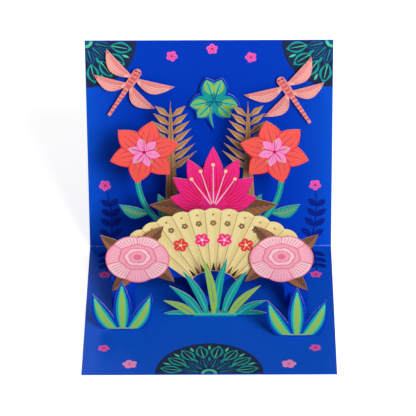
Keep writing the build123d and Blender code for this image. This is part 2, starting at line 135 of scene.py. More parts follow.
# Dragonflies
DRAGONFLY_CENTRE = (50.0, 0.0)
DRAGONFLY_HEIGHTS = {"left": PANEL_LENGTH - 27.0, "right": PANEL_LENGTH - 33.0}
DRAGONFLY_TURN = 32.0
DRAGONFLY_FOAM = 3.0
FORE_WING_LENGTH = 27.0
HIND_WING_LENGTH = 24.0
WING_WIDTH = 8.5
WING_ANGLE = 72.0
WING_STEP = 34.0
WING_SPACING = 5.0

# Clover
CLOVER_CENTRE = (3.0, 0.0)
CLOVER_HEIGHT = PANEL_LENGTH - 42.0
CLOVER_LEAVES = 3
CLOVER_LOBE_LENGTH = 16.0
CLOVER_LOBE_WIDTH = 11.0
CLOVER_LOBE_SPLAY = 18.0
CLOVER_LOBE_BELLY = 0.2
CLOVER_STEM_LENGTH = 20.0
CLOVER_STEM_WIDTH = 2.4

# Ink: thin closed prisms, with their depth in the stock, their rise over it and the step to the next rank.
# Points nearer than SAME_POINT are one, and outlines smaller than LEAST_AREA are left out.
INK_DEPTH = 0.03
INK_RISE = 0.02
INK_STEP = 0.008
SAME_POINT = 0.001
LEAST_AREA = 0.01

# Print on the back panel and the base: rosettes at their edges, blossoms and sprigs
PRINT_MARGIN = 0.25
PANEL_ROSETTE_RADIUS = 33.0
PANEL_BLOSSOMS = {(-24.0, 139.0): 10.0, (2.0, 144.0): 40.0, (27.0, 138.0): -16.0}
PANEL_SPRIG_FOOT = (66.0, 1.5)
PANEL_SPRIG_LENGTH = 44.0
BASE_ROSETTE_RADIUS = 34.0
BASE_BLOSSOM = (67.0, 121.0)
BASE_PALE_BLOSSOM = (50.0, 139.0)
BASE_SPRIG_FOOT = (67.0, 3.0)
BASE_SPRIG_LENGTH = 32.0
BLOSSOM_RADIUS = 4.2
PALE_BLOSSOM_RADIUS = 5.2
BLOSSOM_PETALS = 5
BLOSSOM_WAIST = 0.66
BLOSSOM_BULGE = 0.38
SPRIG_LEAN = 4.0
SPRIG_TIP_RADIUS = 4.4
SPRIG_LEAF_LENGTH = 10.0
SPRIG_LEAF_LOSS = 0.8
SPRIG_LEAF_WIDTH = 4.4
SPRIG_LEAF_SPLAY = 48.0
SPRIG_LEAF_BELLY = 0.2

# Print on the fan, the blooms, the lotus and the lilies
FAN_SMALL_BLOSSOM = 2.3
FAN_LARGE_BLOSSOM = 5.4
FAN_BLOSSOM_TURN = 8.0
FAN_BLOSSOMS = {2.5: "red", 4.5: "hot_pink", 6.5: "hot_pink", 8.5: "red"}
BLOOM_HEART_RISE = 1.5
LOTUS_TEAL_REACH = 19.0
LOTUS_STAMENS = {-34: 25.0, -17: 27.5, 0: 31.0, 17: 27.5, 34: 25.0}
LILY_CORAL_REACH = 23.2
LILY_STEM_PRINT = 3.3
LILY_INNER_LENGTH = 11.0
LILY_INNER_WIDTH = 7.0
LILY_STAMENS = 5
LILY_STAMEN_LENGTH = 8.0

# Print on the ferns, the dragonflies and the clover
FERN_STALK_LINE = (2.0, 43.0, 84.0)
FERN_EDGE_LINE = (2.0, 34.0)
DRAGONFLY_BODY_LINE = (8.2, 1.0, -6.0)
DRAGONFLY_EYE = (1.4, 7.6)
BODY_BANDS = 4
BODY_FIRST_BAND = 6.4
BODY_BAND_STEP = 3.0
BODY_BAND_WIDTH = 3.2
TAIL_BANDS = 7
TAIL_FIRST_BAND = -8.5
TAIL_BAND_STEP = 2.9
TAIL_BAND_WIDTH = 3.0
TAIL_BAND_LOSS = 0.16
CLOVER_MARK_LENGTH = 11.0
CLOVER_MARK_WIDTH = 6.6

# Print on the low plants above the fold of their feet, a painted highlight along that fold, and the width of
# fine lines
FOOT_TOP = 1.3
FOLD_HIGHLIGHT_FOOT = 1.2
GRASS_FOLD_HIGHLIGHT_TOP = 2.1
GRASS_FOLD_HIGHLIGHT_WIDTH = 27.4
TUFT_FOLD_HIGHLIGHT_TOP = 2.0
TUFT_FOLD_HIGHLIGHT_WIDTH = 12.2
FINE_LINE = 0.5

# Paper: its noises' scales per metre, how far they vary the ink and the sheen, and its fibres' depth.
# A ramp is a gain and a drop.
CLOUD_SCALE = 260.0
CLOUD_SHARE = 0.45
MOTTLE_SCALE = 1100.0
MOTTLE_RAMP = (1.6, 0.72)
GRAIN_SCALE = 3200.0
FLECK_RAMP = (2.6, 1.52)
PRINT_FLECK = 0.12
BLUE_FLECK = 0.015
DARKER_INK = 0.86
SHEEN_RANGE = 0.16
SPECULAR = 0.04
FIBRE_DEPTH = 0.06
FACING_LIMIT = 0.6

# Cover's painted light at its sides, the painted highlight broken along its fold, and the foam's cells
PAINTED_SIDE_LIGHT = 0.95
SCORE_REACH = 0.8
FOLD_HIGHLIGHT_SCALE = 420.0
FOLD_HIGHLIGHT_RAMP = (3.0, 0.75)
OUTER_RAMP = (2.6, 1.5)
CELL_SCALE = 2400.0
CELL_RAMP = (0.7, -0.1)
CELL_DEPTH = 0.2

# Studio, in metres and watts: place, power and size of each lamp, the room's own light and the floor
LAMPS = {
    "key": ((1.0, -1.95, 1.35), 59.0, 1.0),
    "top": ((0.1, -0.6, 1.5), 2.5, 0.8),
    "back": ((-0.4, 2.0, 1.1), 24.0, 1.2),
}
LAMP_TARGET = (0.0, 0.0, 0.06)
ROOM_LIGHT = 0.05
FLOOR_REACH = 8.0
FLOOR_GAP = 0.0001
FLOOR_TONE = 0.86
FLOOR_GLOW = 0.64

# Camera fitted to the card's corners, in pixels, degrees and millimetres from the middle of the fold
IMAGE_PIXELS = 416
FOCAL_PIXELS = 3326.0
SENSOR_WIDTH = 36.0
CAMERA_RISE = 31.55
CAMERA_YAW = -0.60
CAMERA_ROLL = 0.50
CAMERA_RIGHT = -1.44
CAMERA_UP = 25.28
CAMERA_AWAY = 2208.0
CAMERA_CLIP = (0.1, 50.0)

# Values that follow from the card's sizes
UPRIGHT = 90.0
LEAN = math.radians(OPENING_ANGLE - UPRIGHT)
FOLD_Y = (PANEL_LENGTH - PANEL_LENGTH * math.sin(LEAN) - COVER * math.cos(LEAN)) / 2
FACE = (0.0, -math.cos(LEAN), math.sin(LEAN))
BEHIND = tuple(-v for v in FACE)
UP = (0.0, 0.0, 1.0)
DOWN = (0.0, 0.0, -1.0)
RIGHT = (1.0, 0.0, 0.0)
LEFT = (-1.0, 0.0, 0.0)


def rgb(red, green, blue):
    """Linear colour from display values of 0 to 255, by the sRGB curve."""
    linear = [((v / 255 + 0.055) / 1.055) ** 2.4 if v > 10 else v / 255 / 12.92 for v in (red, green, blue)]
    return (*linear, 1.0)


COLOURS = {
    "cobalt": rgb(0, 58, 190),
    # Lighter cobalt: the strips' paler cut ends, and the painted light on the cover's base and sides
    "cobalt_pale_ends_and_painted_light": rgb(10, 86, 214),
    "cobalt_deep": rgb(4, 36, 140),
    # Pale blue of the painted highlight along the cover's fold
    "cobalt_painted_highlight": rgb(128, 160, 226),
    "navy": rgb(32, 44, 80),
    "deep_teal": rgb(18, 88, 142),
    "teal": rgb(24, 160, 154),
    "mint": rgb(86, 206, 160),
    "lime": rgb(156, 192, 84),
    "coral": rgb(252, 94, 84),
    "red": rgb(232, 58, 66),
    "plum": rgb(166, 62, 108),
    "pink": rgb(250, 152, 202),
    "blossom": rgb(238, 96, 186),
    "hot_pink": rgb(246, 44, 138),
    "berry": rgb(206, 22, 102),
    "crimson": rgb(226, 30, 70),
    "salmon": rgb(244, 150, 146),
    "salmon_light": rgb(252, 182, 172),
    "salmon_deep": rgb(214, 102, 104),
    "tan": rgb(190, 141, 94),
    "tan_light": rgb(208, 164, 114),
    "tan_deep": rgb(140, 96, 60),
    "brown": rgb(122, 80, 50),
    "brown_light": rgb(160, 106, 68),
    "umber": rgb(74, 50, 34),
    "dusk": rgb(86, 92, 134),
    "cream": rgb(238, 219, 156),
    "cream_deep": rgb(232, 209, 144),
    "sand": rgb(184, 152, 100),
    "blush": rgb(252, 206, 212),
    "rose": rgb(250, 166, 186),
    "rose_deep": rgb(238, 120, 144),
    "paper": rgb(240, 236, 228),
    "edge": rgb(226, 196, 190),
    "foam": rgb(238, 238, 234),
    "foam_pit": rgb(214, 214, 208),
}
WHITE = (1.0, 1.0, 1.0, 1.0)


class Shader:
    """The nodes of a material or a world, added one at a time before the one that ends it."""

    def __init__(self, owner, ending="Principled BSDF"):
        owner.use_nodes = True
        self.owner = owner
        self.tree = owner.node_tree
        self.ending = self.tree.nodes[ending]

    def fill(self, node, inputs):
        """Give each input, by its place or name, a value or another node's output."""
        for key, value in inputs.items():
            if isinstance(value, bpy.types.NodeSocket):
                self.tree.links.new(value, node.inputs[key])
            else:
                node.inputs[key].default_value = value

    def end(self, inputs):
        """Fill the node that ends the tree, and return the material or world."""
        self.fill(self.ending, inputs)
        return self.owner

    def node(self, kind, inputs, **settings):
        made = self.tree.nodes.new(kind)
        for key, value in settings.items():
            setattr(made, key, value)
        self.fill(made, inputs)
        return made

    def math(self, operation, first, second=0.0, third=0.0, clamp=False):
        inputs = {0: first, 1: second, 2: third}
        return self.node("ShaderNodeMath", inputs, operation=operation, use_clamp=clamp).outputs[0]

    def ramp(self, value, gain, drop):
        """The value times gain, less drop, kept between nought and one."""
        return self.math("MULTIPLY_ADD", value, gain, -drop, clamp=True)

    def vector(self, operation, first, second):
        made = self.node("ShaderNodeVectorMath", {0: first, 1: second}, operation=operation)
        return made.outputs["Value"]

    def mix(self, share, first, second):
        """The first colour where share is nought, and the second where it is one."""
        return self.node("ShaderNodeMix", {0: share, 6: first, 7: second}, data_type="RGBA").outputs[2]

    def place(self):
        return self.node("ShaderNodeTexCoord", {}).outputs["Object"]

    def noise(self, place, scale, detail):
        inputs = {"Vector": place, "Scale": scale, "Detail": detail}
        return self.node("ShaderNodeTexNoise", inputs).outputs[0]

    def bump(self, height, strength, depth):
        inputs = {"Height": height, "Strength": strength, "Distance": depth * MM}
        return self.node("ShaderNodeBump", inputs).outputs[0]

    def facing(self, direction):
        """One where the surface faces a direction, and nought elsewhere."""
        normal = self.node("ShaderNodeNewGeometry", {}).outputs["True Normal"]
        return self.math("GREATER_THAN", self.vector("DOT_PRODUCT", normal, direction), FACING_LIMIT)

    def shows_background(self):
        """One for rays that show the background, straight or in gloss or glass, and nought for its light."""
        path = self.node("ShaderNodeLightPath", {}).outputs
        share = self.math("MAXIMUM", path["Is Camera Ray"], path["Is Glossy Ray"])
        return self.math("MAXIMUM", share, path["Is Transmission Ray"])


def new_material(name):
    return Shader(bpy.data.materials.new(name))


def add_object(name, data):
    made = bpy.data.objects.new(name, data)
    bpy.context.scene.collection.objects.link(made)
    return made


def finish_paper(shader, place, colour, rough, bump, fleck=PRINT_FLECK):
    """Card stock: uneven ink, fine fibres in the surface and a matt sheen that varies a little."""
    cloud = shader.noise(place, CLOUD_SCALE, 4.0)
    mottle = shader.noise(place, MOTTLE_SCALE, 2.0)
    grain = shader.noise(place, GRAIN_SCALE, 2.0)
    darker = shader.node("ShaderNodeHueSaturation", {"Value": DARKER_INK, "Color": colour}).outputs[0]
    patches = shader.math("MULTIPLY", cloud, CLOUD_SHARE)
    share = shader.math("ADD", patches, shader.ramp(mottle, *MOTTLE_RAMP), clamp=True)
    uneven = shader.mix(share, colour, darker)
    bare = shader.math("MULTIPLY", shader.ramp(grain, *FLECK_RAMP), fleck)
    return shader.end({
        "Base Color": shader.mix(bare, uneven, COLOURS["paper"]),
        "Roughness": shader.math("MULTIPLY_ADD", cloud, SHEEN_RANGE, rough - SHEEN_RANGE / 2),
        "Specular IOR Level": SPECULAR,
        "Normal": shader.bump(grain, bump, FIBRE_DEPTH),
    })


def ink(colour):
    """Print of one colour, made once and shared by every face that carries it."""
    name = "ink_" + colour
    known = bpy.data.materials.get(name)
    if known:
        return known
    shader = new_material(name)
    return finish_paper(shader, shader.place(), COLOURS[colour], rough=0.56, bump=0.25)


def die_cut(name, colour, edge="edge", near=None):
    """Layer of stock: printed front, plain back and pale cut edges, with another colour near one point."""
    shader = new_material(name)
    place = shader.place()
    front = COLOURS[colour]
    if near:
        inner, centre, radius = near
        inside = shader.math("LESS_THAN", shader.vector("DISTANCE", place, centre), radius * MM)
        front = shader.mix(inside, front, COLOURS[inner])
    sides = shader.mix(shader.facing(BEHIND), COLOURS[edge], COLOURS["paper"])
    colour = shader.mix(shader.facing(FACE), sides, front)
    return finish_paper(shader, place, colour, rough=0.58, bump=0.3)


def folded_blue(name):
    """Blue strip of stock printed on both sides, with paler cut ends."""
    shader = new_material(name)
    ends = shader.math("MAXIMUM", shader.facing(RIGHT), shader.facing(LEFT))
    colour = shader.mix(ends, COLOURS["cobalt"], COLOURS["cobalt_pale_ends_and_painted_light"])
    return finish_paper(shader, shader.place(), colour, rough=0.56, bump=0.3, fleck=BLUE_FLECK)


def cover_stock():
    """The cover: cobalt, with painted light that makes the base and the panel's sides lighter, and a painted
    highlight broken along the fold.
    """
    shader = new_material("cover_stock")
    place = shader.place()
    x, y, z = shader.node("ShaderNodeSeparateXYZ", {"Vector": place}).outputs
    side = shader.math("DIVIDE", shader.math("ABSOLUTE", x), CARD_WIDTH / 2 * MM)
    # Painted light: the panel lighter towards its sides, and the base lighter all over
    lift = shader.ramp(shader.math("POWER", side, 5.0), PAINTED_SIDE_LIGHT, 0.0)
    lift = shader.math("MAXIMUM", lift, shader.facing(UP))
    painted_lit_field = shader.mix(lift, COLOURS["cobalt"], COLOURS["cobalt_pale_ends_and_painted_light"])

    # Painted highlight: a pale broken line along the fold, stronger towards the sides
    from_fold_y = shader.math("ABSOLUTE", shader.math("SUBTRACT", y, FOLD_Y * MM))
    from_fold_z = shader.math("ABSOLUTE", shader.math("SUBTRACT", z, COVER * MM))
    from_fold = shader.math("MAXIMUM", from_fold_y, from_fold_z)
    distance = shader.math("DIVIDE", from_fold, SCORE_REACH * MM)
    score = shader.math("SUBTRACT", 1.0, distance, clamp=True)
    broken = shader.ramp(shader.noise(place, FOLD_HIGHLIGHT_SCALE, 5.0), *FOLD_HIGHLIGHT_RAMP)
    outer = shader.ramp(side, *OUTER_RAMP)
    painted_highlight = shader.math("MULTIPLY", shader.math("MULTIPLY", score, broken), outer)
    highlighted = shader.mix(painted_highlight, painted_lit_field, COLOURS["cobalt_painted_highlight"])

    inside = shader.math("MAXIMUM", shader.facing(FACE), shader.facing(UP))
    outside = shader.math("MAXIMUM", shader.facing(BEHIND), shader.facing(DOWN))
    other = shader.mix(outside, COLOURS["edge"], COLOURS["cobalt"])
    colour = shader.mix(inside, other, highlighted)
    return finish_paper(shader, place, colour, rough=0.5, bump=0.25, fleck=BLUE_FLECK)


def foam_tape():
    """White closed-cell foam, with its cells as small pits."""
    shader = new_material("foam_tape")
    inputs = {"Vector": shader.place(), "Scale": CELL_SCALE}
    cells = shader.node("ShaderNodeTexVoronoi", inputs).outputs[0]
    return shader.end({
        "Base Color": shader.mix(shader.ramp(cells, *CELL_RAMP), COLOURS["foam"], COLOURS["foam_pit"]),
        "Roughness": 0.85,
        "Normal": shader.bump(cells, 0.5, CELL_DEPTH),
    })


def upright(distance, height, side=1, raised=STOCK):
    """A face parallel to the back panel: x outwards, y up and lift towards the viewer, in millimetres."""
    def put(x, y, lift):
        rise, out = height + y, raised + lift
        back = FOLD_Y - distance + rise * math.sin(LEAN) - out * math.cos(LEAN)
        return Vector((side * x, back, COVER + rise * math.cos(LEAN) + out * math.sin(LEAN))) * MM
    return put


def level(x, y, lift):
    """The base's upper face: x to the right, y out from the fold."""
    return Vector((x, FOLD_Y - y, COVER + lift)) * MM


class Print:
    """The inks on one face, gathered as thin closed prisms and made into one piece."""

    def __init__(self, name, put, slot):
        self.name, self.put, self.slot = name, put, slot
        self.points, self.faces, self.tones, self.inks = [], [], [], []
        across = put(1, 0, 0) - put(0, 0, 0)
        along = put(0, 1, 0) - put(0, 0, 0)
        self.mirrored = across.cross(along).dot(put(0, 0, 1) - put(0, 0, 0)) < 0

    def add(self, colour, outline, rank=0):
        """Lay a closed outline of one colour; a higher rank lies over a lower one."""
        outline = [p for i, p in enumerate(outline) if math.dist(p, outline[i - 1]) > SAME_POINT]
        area = sum(a[0] * b[1] - b[0] * a[1] for a, b in zip(outline, outline[1:] + outline[:1])) / 2
        if len(outline) < 3 or abs(area) < LEAST_AREA:
            return
        ring = outline if (area > 0) != self.mirrored else outline[::-1]
        if colour not in self.inks:
            self.inks.append(colour)
        tone = self.inks.index(colour)
        first, count = len(self.points), len(ring)
        top = INK_RISE + INK_STEP * rank
        self.points += [self.put(x, y, -INK_DEPTH) for x, y in ring]
        self.points += [self.put(x, y, top) for x, y in ring]
        self.faces.append([first + i for i in reversed(range(count))])
        self.faces.append([first + count + i for i in range(count)])
        for i in range(count):
            after = (i + 1) % count
            self.faces.append([first + i, first + after, first + count + after, first + count + i])
        self.tones += [tone] * (count + 2)

    def make(self):
        mesh = bpy.data.meshes.new(self.name)
        mesh.from_pydata(self.points, [], self.faces)
        for colour in self.inks:
            mesh.materials.append(ink(colour))
        mesh.polygons.foreach_set("material_index", self.tones)
        mesh.update()
        piece = add_object(self.name, mesh)
        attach(piece, "root")


def steps(start, end, count):
    """Even steps from start to end, both included."""
    return [start + (end - start) * i / count for i in range(count + 1)]


def between(first, last, share):
    return tuple(a + (b - a) * share for a, b in zip(first, last))


def on_side(point, side):
    return (side * point[0], point[1])


def polar(centre, radius, degrees):
    angle = math.radians(degrees)
    return (centre[0] + radius * math.cos(angle), centre[1] + radius * math.sin(angle))


def turn(point, centre, degrees):
    """A point given about a centre, turned anticlockwise round it."""
    angle = math.radians(degrees)
    x = point[0] * math.cos(angle) - point[1] * math.sin(angle)
    y = point[0] * math.sin(angle) + point[1] * math.cos(angle)
    return (centre[0] + x, centre[1] + y)


def disc(centre, radius, count):
    return [polar(centre, radius, 360 * i / count) for i in range(count)]


def sector(centre, radius, start, end, count):
    """Slice of a disc between two angles."""
    return [polar(centre, radius, angle) for angle in steps(start, end, count)] + [centre]


def arc(first, last, bulge, count=8):
    """Points of a shallow arc that bulges to the right of its travel."""
    across, along = last[0] - first[0], last[1] - first[1]
    chord = math.hypot(across, along)
    radius = (chord * chord / 4 + bulge * bulge) / (2 * bulge)
    normal = (along / chord, -across / chord)
    centre = tuple((first[i] + last[i]) / 2 - normal[i] * (radius - bulge) for i in (0, 1))
    half = math.degrees(math.asin(min(1.0, chord / 2 / radius)))
    middle = math.degrees(math.atan2(normal[1], normal[0]))
    return [polar(centre, radius, angle) for angle in steps(middle - half, middle + half, count)]


def scallops(centre, radius, start, count, depth):
    """Closed outline of round lobes on a circle."""
    rim = [polar(centre, radius, angle) for angle in steps(start, start + 360, count)]
    return [p for a, b in zip(rim, rim[1:]) for p in arc(a, b, depth)[:-1]]


def oval_joints(centre, width, height, count):
    """Points that part an oval's rim into equal lengths, from its top and anticlockwise."""
    fine, slack = 1440, 1e-9
    circle = [polar((0.0, 0.0), 1.0, angle) for angle in steps(90, 450, fine)]
    rim = [(centre[0] + x * width / 2, centre[1] + y * height / 2) for x, y in circle]
    run = [0.0]
    for a, b in zip(rim, rim[1:]):
        run.append(run[-1] + math.dist(a, b))
    goals = [run[-1] * k / count - slack for k in range(count + 1)]
    return [next(point for point, length in zip(rim, run) if length >= goal) for goal in goals]


def strip(points, wide, narrow=None):
    """Outline of a line of ink along points, tapering from one width to the other."""
    narrow = wide if narrow is None else narrow
    left, right = [], []
    for i, (x, y) in enumerate(points):
        a, b = points[max(i - 1, 0)], points[min(i + 1, len(points) - 1)]
        length = math.dist(a, b)
        half = (wide + (narrow - wide) * i / (len(points) - 1)) / 2
        nx, ny = -(b[1] - a[1]) / length * half, (b[0] - a[0]) / length * half
        left.append((x + nx, y + ny))
        right.append((x - nx, y - ny))
    return right + left[::-1]


def above(outline, floor):
    """The part of an outline that lies above a height."""
    kept = []
    for a, b in zip(outline, outline[1:] + outline[:1]):
        if a[1] >= floor:
            kept.append(a)
        if (a[1] >= floor) != (b[1] >= floor):
            share = (floor - a[1]) / (b[1] - a[1])
            kept.append((a[0] + share * (b[0] - a[0]), floor))
    return kept


class Leaf:
    """A pointed leaf or petal as the stock is cut, leaning clockwise from upright by an angle."""

    def __init__(self, foot, angle, length, width, bend=0.0, belly=LEAF_BELLY):
        self.foot, self.angle = foot, angle
        self.length, self.width, self.bend, self.belly = length, width, bend, belly

    def at(self, s, t):
        """The point that is s of the half width off the middle line, and t along it."""
        x = 4 * t * (1 - t) * (self.bend + s * self.width / 2)
        lower, upper = 0.5 - self.belly, 0.5 + self.belly
        share = 3 * t * (1 - t) ** 2 * lower + 3 * t * t * (1 - t) * upper + t ** 3
        return turn((x, self.length * share), self.foot, -self.angle)

    def part(self, low, high, start=0.0, end=1.0, count=14):
        """The outline between two shares of the half width and two places along the leaf."""
        places = steps(start, end, count)
        return [self.at(high, t) for t in places] + [self.at(low, t) for t in reversed(places)]

    def core(self, share=1.0, start=0.0, end=1.0):
        """The outline of the same share of the width on both sides, the whole leaf unless told otherwise."""
        return self.part(-share, share, start, end)

    def line(self, s, start, end, wide, narrow):
        """A tapering line along the leaf, s of the half width off its middle."""
        return strip([self.at(s, t) for t in steps(start, end, 10)], wide, narrow)

    def veins(self, count, start, end, reach, slope, wide):
        """Pairs of short lines that leave the middle line and rise towards the edges."""
        for t in steps(start, end, count - 1):
            for s in (-reach, reach):
                path = [self.at(s * k / 3, t + slope * k / 3) for k in range(4)]
                yield strip(path, wide, wide * 0.4)


def spray(count, spread, middle, side):
    """Share from -1 to 1, lean and length of each blade of an even spray."""
    for share in steps(-1, 1, count - 1):
        yield share, share * spread / 2, middle + (side - middle) * abs(share)


def blossom(sheet, centre, radius, colour, heart, turned=0.0, rank=2):
    """Small blossom: one outline of round petals, a line on each and a heart, in shares of its radius."""
    start = UPRIGHT + turned
    outline = scallops(centre, radius * BLOSSOM_WAIST, start, BLOSSOM_PETALS, radius * BLOSSOM_BULGE)
    sheet.add(colour, outline, rank)
    for i in range(BLOSSOM_PETALS):
        lean = start + 360 * (i + 0.5) / BLOSSOM_PETALS
        line = [polar(centre, radius * share, lean) for share in (0.3, 0.5, 0.72)]
        sheet.add(heart, strip(line, radius * 0.09, radius * 0.04), rank + 1)
    sheet.add(heart, disc(centre, radius * 0.2, 12), rank + 2)


def petal_row(sheet, centre, radius, angles, step, reach, width, colours, rank):
    """Row of hollow petals from one share of the radius to another, with spikes between their tips."""
    start, end = angles
    foot, tip = reach
    outer, inner = colours
    count = round((end - start) / step)
    for i in range(count):
        lean = start + step * (i + 0.5)
        petal = Leaf(polar(centre, radius * foot, lean), UPRIGHT - lean, radius * (tip - foot), width)
        sheet.add(outer, petal.core(), rank)
        sheet.add("navy", petal.core(0.62, 0.12, 0.86), rank + 1)
        sheet.add(inner, petal.line(0.0, 0.1, 0.8, 0.8, 0.3), rank + 2)
    for i in range(1, count):
        lean = start + step * i
        spike = Leaf(polar(centre, radius * (tip - 0.16), lean), UPRIGHT - lean, radius * 0.16, 1.7)
        sheet.add(inner, spike.core(), 1)


def rosette(sheet, centre, radius, start, end):
    """Dark round cut by the card's edge: two rows of pointed petals round a small heart."""
    angles = (start, end)
    sheet.add("navy", sector(centre, radius, start, end, 40))
    petal_row(sheet, centre, radius, angles, 30.0, (0.17, 0.56), 5.4, ("deep_teal", "teal"), 1)
    petal_row(sheet, centre, radius, angles, 22.5, (0.5, 0.93), 8.2, ("teal", "mint"), 4)
    sheet.add("mint", sector(centre, radius * 0.15, start, end, 16), 1)
    sheet.add("deep_teal", sector(centre, radius * 0.09, start, end, 16), 2)


def sprig(sheet, foot, lean, length, pairs):
    """Twig in the stock's own blue, with pairs of oval leaves and a blossom at its tip."""
    stem = Leaf(foot, lean, length, 1.0, length * 0.05)
    sheet.add("cobalt_deep", stem.line(0.0, 0.0, 1.0, 1.3, 0.6), 1)
    for i in range(pairs):
        joint = stem.at(0.0, 0.1 + 0.75 * i / pairs)
        long = SPRIG_LEAF_LENGTH - SPRIG_LEAF_LOSS * i
        for way in (-1, 1):
            angle = lean + way * SPRIG_LEAF_SPLAY
            leaf = Leaf(joint, angle, long, SPRIG_LEAF_WIDTH, 0.0, SPRIG_LEAF_BELLY)
            sheet.add("cobalt_deep", leaf.core())
    blossom(sheet, stem.at(0.0, 1.0), SPRIG_TIP_RADIUS, "blossom", "berry", lean)


def panel_print():
    """Back panel: dark rosettes in its upper corners, small blossoms and two sprigs above the fold."""
    sheet = Print("panel_print", upright(0.0, 0.0, 1, 0.0), "blue_stock")
    edge, top = CARD_WIDTH / 2 - PRINT_MARGIN, PANEL_LENGTH - PRINT_MARGIN
    rosette(sheet, (edge, top), PANEL_ROSETTE_RADIUS, 180, 270)
    rosette(sheet, (-edge, top), PANEL_ROSETTE_RADIUS, 270, 360)
    for centre, turned in PANEL_BLOSSOMS.items():
        blossom(sheet, centre, BLOSSOM_RADIUS, "blossom", "berry", turned)
    for side in SIDES.values():
        sprig(sheet, on_side(PANEL_SPRIG_FOOT, side), side * SPRIG_LEAN, PANEL_SPRIG_LENGTH, 4)
    sheet.make()


def base_print():
    """Base: a dark half rosette at its front edge, small blossoms and two short sprigs."""
    sheet = Print("base_print", level, "blue_stock")
    rosette(sheet, (0.0, PANEL_LENGTH - PRINT_MARGIN), BASE_ROSETTE_RADIUS, 180, 360)
    for side in SIDES.values():
        pale, bright = on_side(BASE_PALE_BLOSSOM, side), on_side(BASE_BLOSSOM, side)
        blossom(sheet, pale, PALE_BLOSSOM_RADIUS, "pink", "blossom", side * 12.0)
        blossom(sheet, bright, BLOSSOM_RADIUS, "blossom", "berry", side * -25.0)
        sprig(sheet, on_side(BASE_SPRIG_FOOT, side), side * SPRIG_LEAN, BASE_SPRIG_LENGTH, 3)
    sheet.make()


def fan_point(pleat, share):
    """The point so many pleats from the fan's right end, and a share of the way from inner edge to rim."""
    turned = pleat / FAN_PLEATS - 0.5
    rim_centre = (FAN_OFFSET, FAN_RIM_HEIGHT - FAN_RIM_RADIUS)
    low = polar((FAN_OFFSET, 0.0), FAN_INNER_RADIUS, UPRIGHT + FAN_SPREAD * turned)
    high = polar(rim_centre, FAN_RIM_RADIUS, UPRIGHT + FAN_RIM_SPREAD * turned)
    return between(low, high, share)


def fan_blossom(sheet, pleat, share, radius, colour, rank):
    turned = (pleat - FAN_PLEATS / 2) * FAN_BLOSSOM_TURN
    blossom(sheet, fan_point(pleat, share), radius, colour, "cream", turned, rank)


def fan_print():
    """Fan: shaded pleats between fold lines, brown stick ends and a band of blossoms."""
    sheet = Print("fan_print", upright(BRIDGE_DISTANCE, BRIDGE_HEIGHT - FAN_DROP), "cream_stock")
    shade = ((0.04, 0.01), (0.04, 0.985), (0.42, 0.985), (0.42, 0.01))
    stick = ((0.08, 0.008), (0.92, 0.008), (0.5, 0.15))
    for i in range(FAN_PLEATS):
        sheet.add("cream_deep", [fan_point(i + across, along) for across, along in shade])
        sheet.add("umber" if i % 2 else "brown", [fan_point(i + across, along) for across, along in stick], 1)
        fan_blossom(sheet, i + 0.5, 0.8, FAN_SMALL_BLOSSOM, "brown", 2)
        sheet.add("brown_light", disc(fan_point(i + 0.5, 0.94), 0.7, 10), 1)
        if i:
            sheet.add("sand", strip([fan_point(i, share) for share in (0.03, 0.5, 0.985)], FINE_LINE), 1)
    for pleat, colour in FAN_BLOSSOMS.items():
        fan_blossom(sheet, pleat, 0.53, FAN_LARGE_BLOSSOM, colour, 3)
    sheet.make()


def bloom_leaves_print(name, side):
    """Leaves round a front bloom: one half of each paler, with a dusky middle line and dark veins."""
    face = upright(BRIDGE_DISTANCE, BRIDGE_HEIGHT, side, FOAM + STOCK)
    sheet = Print(f"bloom_leaves_{name}_print", face, "brown_stock")
    for i in range(BLOOM_LEAVES):
        angle = -(BLOOM_LEAF_TURN + 360 / BLOOM_LEAVES * i)
        leaf = Leaf(BLOOM_CENTRE, angle, BLOOM_LEAF_LENGTH, BLOOM_LEAF_WIDTH, BLOOM_LEAF_BOW)
        sheet.add("brown_light", leaf.part(0.08, 0.84, 0.4, 0.97))
        sheet.add("dusk", leaf.line(0.0, 0.4, 0.96, 0.7, 0.2), 1)
        for vein in leaf.veins(5, 0.45, 0.8, 0.6, 0.12, 0.3):
            sheet.add("umber", vein, 1)
    sheet.make()


def bloom_print(name, side):
    """Front bloom: hatched outer petals, pale and rosy in turn, round rings of smaller ones."""
    face = upright(BRIDGE_DISTANCE, BRIDGE_HEIGHT, side, FOAM + 2 * STOCK)
    sheet = Print(f"bloom_{name}_print", face, "pink_stock")
    heart = (BLOOM_CENTRE[0], BLOOM_CENTRE[1] + BLOOM_HEART_RISE)
    joints = oval_joints(BLOOM_CENTRE, BLOOM_WIDTH, BLOOM_HEIGHT, BLOOM_PETALS)
    for i, (first, last) in enumerate(zip(joints, joints[1:])):
        rim = [between(BLOOM_CENTRE, point, 0.965) for point in arc(first, last, BLOOM_SCALLOP, 42)]
        petal, hatch = ("rose", "blush") if i % 2 else ("blush", "rose_deep")
        sheet.add(petal, rim[1:-1] + [heart])
        for point in rim[5:-4:6]:
            line = [between(heart, point, share) for share in (0.5, 0.75, 0.93)]
            sheet.add(hatch, strip(line, 0.3, 0.5), 1)

    # Colour, radius, lobes, their depth and where the first one starts, from the outermost ring inwards
    rings = (
        ("rose_deep", 11.4, 7, 2.3, 64),
        ("rose", 10.6, 7, 2.2, 64),
        ("rose_deep", 8.2, 6, 2.0, 100),
        ("blush", 7.4, 6, 1.9, 96),
        ("rose_deep", 5.4, 5, 1.5, 130),
        ("rose", 4.7, 5, 1.4, 124),
        ("rose_deep", 2.6, 4, 0.8, 80),
    )
    for rank, (colour, radius, lobes, depth, start) in enumerate(rings, 2):
        ring = scallops(heart, radius, start, lobes, depth)
        oval = [(x, heart[1] + (y - heart[1]) * BLOOM_HEIGHT / BLOOM_WIDTH) for x, y in ring]
        sheet.add(colour, oval, rank)
    sheet.make()


